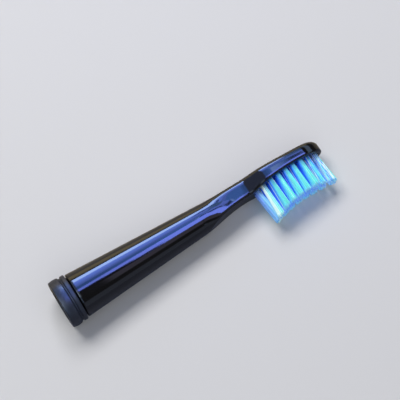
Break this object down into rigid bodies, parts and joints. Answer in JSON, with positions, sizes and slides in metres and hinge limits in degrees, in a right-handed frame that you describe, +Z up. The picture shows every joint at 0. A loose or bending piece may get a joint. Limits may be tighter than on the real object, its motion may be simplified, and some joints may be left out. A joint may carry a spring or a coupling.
{
  "type": "electric toothbrush head",
  "caption": "Push-on electric toothbrush head: tapered glossy tube with a satin base ring, scooped neck and an oval plate of blue nylon tufts trimmed to a hollow arc.",
  "frame": {"origin": "start of the round guide bore for the drive shaft, on the tube's axis", "axes": "+X from the base ring to the toe, level with the floor it lies on; bristles point to -Y; +Z up"},
  "size_m": [0.087, 0.0205, 0.0146],
  "materials": {
    "gloss_shell": "high gloss black moulding",
    "satin_ring": "satin black",
    "socket_plastic": "plain moulded",
    "spring_steel": "rolled",
    "anchor_metal": "stamped",
    "bristle_nylon": "blue nylon filament"
  },
  "bodies": {
    "root": {"brush_body": "gloss_shell", "base_ring": "satin_ring", "shaft_socket": "socket_plastic", "retaining_clip": "spring_steel", "tuft_anchors": "anchor_metal", "tuft_row1_1": "bristle_nylon", "tuft_row1_2": "bristle_nylon", "tuft_row2_1": "bristle_nylon", "tuft_row2_2": "bristle_nylon", "tuft_row2_3": "bristle_nylon", "tuft_row3_1": "bristle_nylon", "tuft_row3_2": "bristle_nylon", "tuft_row3_3": "bristle_nylon", "tuft_row3_4": "bristle_nylon", "tuft_row4_1": "bristle_nylon", "tuft_row4_2": "bristle_nylon", "tuft_row4_3": "bristle_nylon", "tuft_row4_4": "bristle_nylon", "tuft_row5_1": "bristle_nylon", "tuft_row5_2": "bristle_nylon", "tuft_row5_3": "bristle_nylon", "tuft_row5_4": "bristle_nylon", "tuft_row6_1": "bristle_nylon", "tuft_row6_2": "bristle_nylon", "tuft_row6_3": "bristle_nylon", "tuft_row6_4": "bristle_nylon", "tuft_row7_1": "bristle_nylon", "tuft_row7_2": "bristle_nylon", "tuft_row7_3": "bristle_nylon", "tuft_row7_4": "bristle_nylon", "tuft_row8_1": "bristle_nylon", "tuft_row8_2": "bristle_nylon", "tuft_row8_3": "bristle_nylon", "tuft_row9_1": "bristle_nylon", "tuft_row9_2": "bristle_nylon"}
  },
  "joints": []
}
